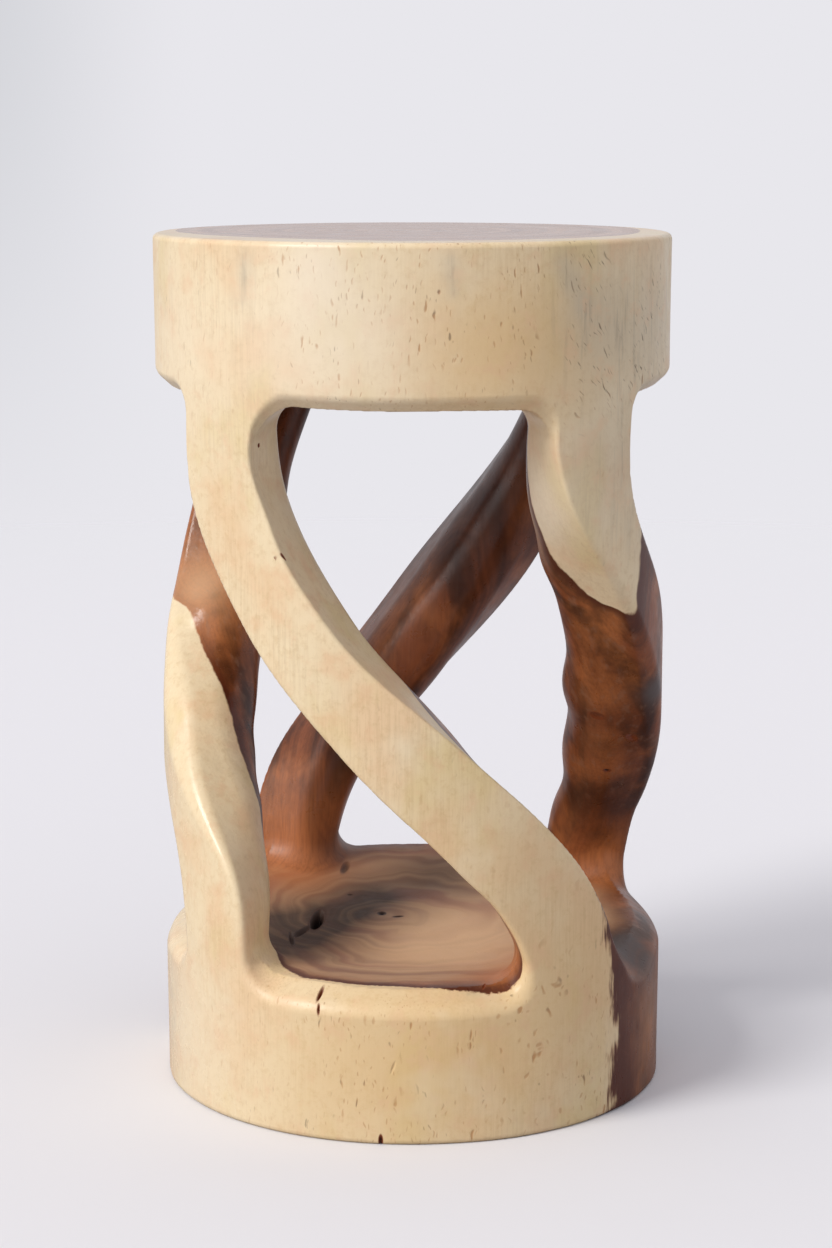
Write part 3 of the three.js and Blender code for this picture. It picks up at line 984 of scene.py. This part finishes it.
# %% [markdown]
# The top of the seat is end grain too, and waxed. Its colour is paler partly from wear and partly
# as a painted glare, the pale sheen that the top shows from a low angle. The wax is a clear coat,
# so that the top shines when it is seen from a low angle and shows its rings from above.

# %% The top of the seat
WORN_AND_GLARE_DARK, WORN_AND_GLARE_PALE, WORN_AND_GLARE_RING = paint("#A58069"), paint("#C9A488"), paint("#8A6650")

# Paler than the heartwood below, partly from wear and partly as a painted glare
worn_and_glare_top = blend(ramp(bands, 0.35, 0.65), WORN_AND_GLARE_DARK, WORN_AND_GLARE_PALE)
worn_and_glare_top = blend(ramp(fine_bands, 0.4, 0.65, 0, 0.3), worn_and_glare_top, WORN_AND_GLARE_RING)
waxed_top = times(ramp(up, NEAR_TOP, ON_TOP), ramp(upright, 0.3, 0.9, 0, 0.85))
heartwood = blend(waxed_top, heartwood, worn_and_glare_top)
print("floor and top,", len(tree.nodes), "nodes")

# %% [markdown]
# Where the two kinds meet, the border is torn along the grain, more so on the base, and a dark
# line runs along it on the brown side. Marks have a stained edge and a black inside, which in the
# knots is dark wood and in the pit, the splits and the worm holes is partly painted shade.

# %% Where the two kinds meet
BORDER_LINE, BLACK_AND_SHADE = paint("#4E2114"), paint("#180803")
STAIN, STAIN_IN_HOLLOW = paint("#7A3B1E"), paint("#4A352A")

jagged = calc("SUBTRACT", noise(stretched(place, 1, 1, 0.15), 2.5, 4.0), 0.5)
jagged = times(jagged, ramp(up, 150, 90, 1.6, 4))
jagged = times(jagged, calc("SUBTRACT", 1.0, times(stored("hollow"), 0.8)))
slow = times(calc("SUBTRACT", noise(place, 16, 2.0), 0.5), 3)
depth = calc("ADD", calc("ADD", stored("heart_depth"), jagged), slow)
rim_line = times(ramp(depth, 0, 0.7), ramp(depth, 9, 1.5))
rim_line = times(rim_line, ramp(up, NEAR_TOP, NEAR_TOP - 6))
faint = times(stored("amber"), ramp(up, 120, 180, 0, 0.7))
rim_line = times(rim_line, calc("SUBTRACT", 0.85, faint))
heartwood = blend(rim_line, heartwood, BORDER_LINE)
wood_colour = blend(ramp(depth, -0.6, 0.9), sapwood, heartwood)
stain = blend(stored("hollow"), STAIN, STAIN_IN_HOLLOW)
wood_colour = blend(ramp(stored("mark"), 0.05, 0.4), wood_colour, stain)
# The black inside: dark wood in the knots, painted shade in the pit, the splits and the worm holes
wood_colour = blend(ramp(stored("mark"), 0.5, 0.95), wood_colour, BLACK_AND_SHADE)

# %% [markdown]
# The finish is a satin lacquer. The hollow is duller, because nobody polishes there, the left
# strut is the smoothest, and the dashes are small dents that break the sheen.

# %% Sheen
SATIN = (0.3, 0.4)
DULL_HOLLOW, DULL_DASH = 0.3, 0.2
SMOOTH_HEART, SMOOTH_TOP, SMOOTH_LEFT = 0.03, 0.06, 0.1

is_heart = ramp(depth, -0.4, 0.5)
on_left_strut = times(ramp(to_right, -85, -115), ramp(up, 400, 350))
satin = ramp(noise(place, 12, 3.0), 0.3, 0.7, *SATIN)
satin = calc("SUBTRACT", satin, times(is_heart, ramp(up, NEAR_TOP, ON_TOP, 0, SMOOTH_TOP)))
satin = calc("ADD", satin, times(stored("hollow"), DULL_HOLLOW))
satin = calc("SUBTRACT", satin, times(on_left_strut, SMOOTH_LEFT))
satin = calc("SUBTRACT", satin, times(is_heart, SMOOTH_HEART))
satin = calc("ADD", satin, times(dash, DULL_DASH))

# %% Relief
FIBRE_RELIEF, DASH_RELIEF, HAND_RELIEF = 0.06, 0.25, 0.5

relief = calc("SUBTRACT", times(fibres, FIBRE_RELIEF), times(dash, DASH_RELIEF))
relief = calc("ADD", relief, times(noise(place, 9, 2.0), HAND_RELIEF))
bump = node("ShaderNodeBump", {"Height": relief, "Strength": 0.5, "Distance": 0.001})

# %% Put the material together
GLOSS, WAX_ROUGHNESS = 0.38, 0.3

shader.inputs["Specular IOR Level"].default_value = GLOSS
shader.inputs["Coat Roughness"].default_value = WAX_ROUGHNESS
tree.links.new(wood_colour, shader.inputs["Base Color"])
tree.links.new(satin, shader.inputs["Roughness"])
tree.links.new(bump.outputs[0], shader.inputs["Normal"])
tree.links.new(waxed_top, shader.inputs["Coat Weight"])
for piece in pieces:
    piece.data.materials.append(look)
print("wood material with", len(tree.nodes), "nodes")

# %% [markdown]
# ## The studio
#
# The stool stands on a pale floor that fades into a pale backdrop, with no line between them. The
# floor is a round sheet whose paint turns clear towards its edge, where the backdrop's own colour
# takes over. The floor looks paler to the camera than to the stool, so that little light bounces
# up from it.

# %% Floor
FLOOR_RADIUS, FLOOR_SIDES = 3.4, 96
FADE_START, FADE_END = 0.9, 3.2
FLOOR_SEEN, FLOOR_FELT = paint("#E8E7EA"), paint("#B0AEB2")

floor_mesh = bpy.data.meshes.new("floor")
turns = np.linspace(0, 2 * math.pi, FLOOR_SIDES, False)
rim = [(FLOOR_RADIUS * math.cos(turn), FLOOR_RADIUS * math.sin(turn), 0) for turn in turns]
floor_mesh.from_pydata(rim, [], [range(len(rim))])
floor = bpy.data.objects.new("floor", floor_mesh)
bpy.context.scene.collection.objects.link(floor)

# %% Floor paint
floor_paint = bpy.data.materials.new("floor_paint")
floor_paint.use_nodes = True
tree = floor_paint.node_tree
shader = tree.nodes["Principled BSDF"]
shader.inputs["Roughness"].default_value = 0.7
shader.inputs["Specular IOR Level"].default_value = 0.1
seen = node("ShaderNodeLightPath", {}).outputs["Is Camera Ray"]
tree.links.new(blend(seen, FLOOR_FELT, FLOOR_SEEN), shader.inputs["Base Color"])
spot = node("ShaderNodeTexCoord", {}).outputs["Object"]
from_middle = node("ShaderNodeVectorMath", {0: spot}, operation="LENGTH").outputs["Value"]
clear = node("ShaderNodeBsdfTransparent", {}).outputs[0]
fade = ramp(from_middle, FADE_START, FADE_END)
faded = node("ShaderNodeMixShader", {0: fade, 1: shader.outputs[0], 2: clear})
tree.links.new(faded.outputs[0], tree.nodes["Material Output"].inputs["Surface"])
floor_mesh.materials.append(floor_paint)
print("floor", FLOOR_RADIUS, "m in radius")

# %% [markdown]
# Light comes evenly from all round, and its strength is plain, so that colours come out about as
# they are written. The camera sees a backdrop instead of that light, a little darker at the far
# left, as in the photograph. Two suns with wide discs, and so with soft shadows, stand to the left
# of the camera: a large window, and a weak light low down that reaches under the seat.

# %% Light from all round, and the backdrop
AMBIENT, AMBIENT_COLOUR = 0.66, paint("#FAF9FF")
BACKDROP, BACKDROP_LEFT = paint("#E8E7EC"), paint("#D3D4D9")

world = bpy.data.worlds.new("studio")
bpy.context.scene.world = world
world.use_nodes = True
tree = world.node_tree
around = tree.nodes["Background"]
around.inputs["Color"].default_value = AMBIENT_COLOUR
around.inputs["Strength"].default_value = AMBIENT
view = node("ShaderNodeSeparateXYZ", {0: node("ShaderNodeTexCoord", {}).outputs["Generated"]}).outputs
far_left = times(ramp(view[0], -0.07, -0.16), ramp(view[2], -0.16, 0.05, 0.15, 1))
backdrop_colour = blend(far_left, BACKDROP, BACKDROP_LEFT)
backdrop = node("ShaderNodeBackground", {"Color": backdrop_colour, "Strength": 1.0})
seen = node("ShaderNodeLightPath", {}).outputs["Is Camera Ray"]
both = node("ShaderNodeMixShader", {0: seen, 1: around.outputs[0], 2: backdrop.outputs[0]})
tree.links.new(both.outputs[0], tree.nodes["World Output"].inputs["Surface"])


# %% The window and the low light
def add_sun(name, energy, disc, turn, height):
    """A sun to the left of the camera, turned and raised by so many degrees."""
    lamp = bpy.data.objects.new(name, bpy.data.lights.new(name, "SUN"))
    lamp.data.energy = energy
    lamp.data.angle = math.radians(disc)
    lamp.rotation_euler = (math.radians(90 - height), 0, math.radians(-turn))
    bpy.context.scene.collection.objects.link(lamp)
    return lamp


window = add_sun("window_light", energy=1.85, disc=22, turn=55, height=39)
window.data.color = (1.0, 0.985, 0.96)
add_sun("low_light", energy=0.4, disc=40, turn=60, height=12)
bpy.context.scene.view_settings.view_transform = "Standard"
print("two lights")
